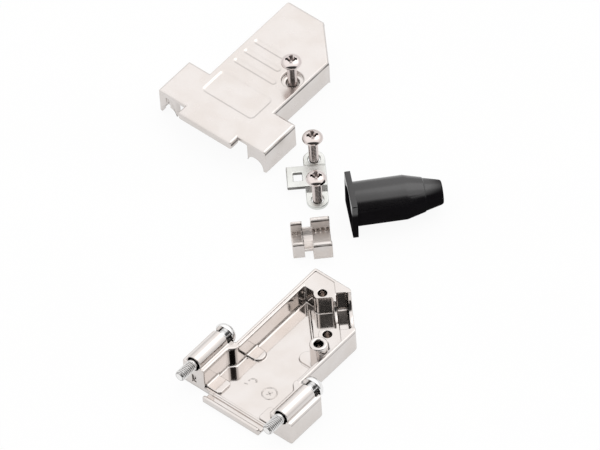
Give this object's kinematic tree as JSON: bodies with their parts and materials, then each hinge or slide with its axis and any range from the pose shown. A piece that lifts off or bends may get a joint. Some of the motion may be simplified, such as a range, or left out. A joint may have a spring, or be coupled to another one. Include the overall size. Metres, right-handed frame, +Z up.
{
  "type": "d-sub hood",
  "caption": "Metal hood for a D-sub connector with an angled cable exit, laid out taken apart: lower shell with jackscrews, cover, cable clamp, boot and screws.",
  "frame": {"origin": "on the underside of the lower shell, mid width, below the line where its wide connector end meets its body", "axes": "+X across the connector end towards the side the cable leaves by, +Y away from the connector, +Z up from the table"},
  "size_m": [0.0859, 0.0994, 0.0142],
  "materials": {
    "shell": "polished nickel plate",
    "cover": "satin nickel plate",
    "screw": "nickel plate",
    "strap": "matt zinc plate",
    "jackscrew": "bright zinc plate",
    "boot": "smooth"
  },
  "bodies": {
    "hood": {"lower_shell": "shell", "cover": "cover", "clamp_strap": "strap", "cable_saddle": "shell", "cable_boot": "boot"},
    "jackscrew_left": {"jackscrew_left": "jackscrew"},
    "jackscrew_right": {"jackscrew_right": "jackscrew"},
    "cover_screw": {"cover_screw": "screw"},
    "clamp_screw_rear": {"clamp_screw_rear": "screw"},
    "clamp_screw_front": {"clamp_screw_front": "screw"}
  },
  "joints": [
    {"name": "jackscrew_left_turn", "type": "hinge", "parent": "hood", "child": "jackscrew_left", "pos_m": [-0.01249, 0, 0.007], "axis": [0, 1, 0], "continuous": true},
    {"name": "jackscrew_right_turn", "type": "hinge", "parent": "hood", "child": "jackscrew_right", "pos_m": [0.01249, 0, 0.007], "axis": [0, 1, 0], "continuous": true},
    {"name": "cover_screw_turn", "type": "hinge", "parent": "hood", "child": "cover_screw", "pos_m": [-0.0486, 0.06651, 0.008], "axis": [0, 0, 1], "continuous": true},
    {"name": "clamp_screw_rear_turn", "type": "hinge", "parent": "hood", "child": "clamp_screw_rear", "pos_m": [-0.0334, 0.05534, 0.004], "axis": [0, 0, 1], "continuous": true},
    {"name": "clamp_screw_front_turn", "type": "hinge", "parent": "hood", "child": "clamp_screw_front", "pos_m": [-0.0251, 0.04666, 0.004], "axis": [0, 0, 1], "continuous": true}
  ]
}
